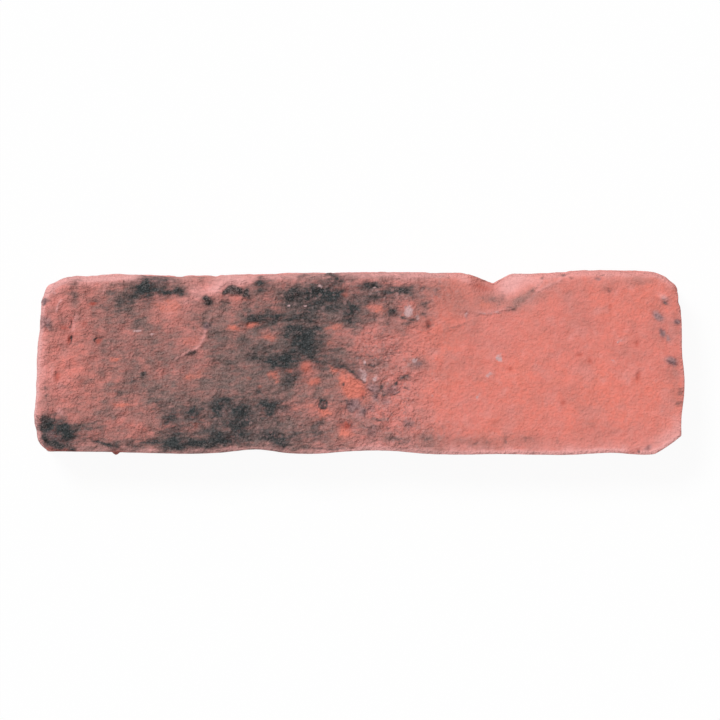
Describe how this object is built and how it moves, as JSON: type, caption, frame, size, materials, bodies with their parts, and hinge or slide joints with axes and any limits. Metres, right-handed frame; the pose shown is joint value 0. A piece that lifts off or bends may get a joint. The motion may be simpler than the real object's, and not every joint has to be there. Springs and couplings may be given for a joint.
{
  "type": "brick slip",
  "caption": "Thin hand-made clay brick slip with a fire-marked face, worn arrises, broken corners and spalled upper edge, bonded to a wall by its flat back.",
  "frame": {"origin": "middle of the overall rectangle on the flat back", "axes": "+X along the slip's length, +Y from the lower bed to the upper bed, +Z out of the face"},
  "size_m": [0.228, 0.065, 0.02],
  "materials": {
    "fired_clay": "matt fired clay, coral red with blackened fire marks on the face and paler sanded sides"
  },
  "bodies": {
    "root": {"brick_slip": "fired_clay"}
  },
  "joints": []
}
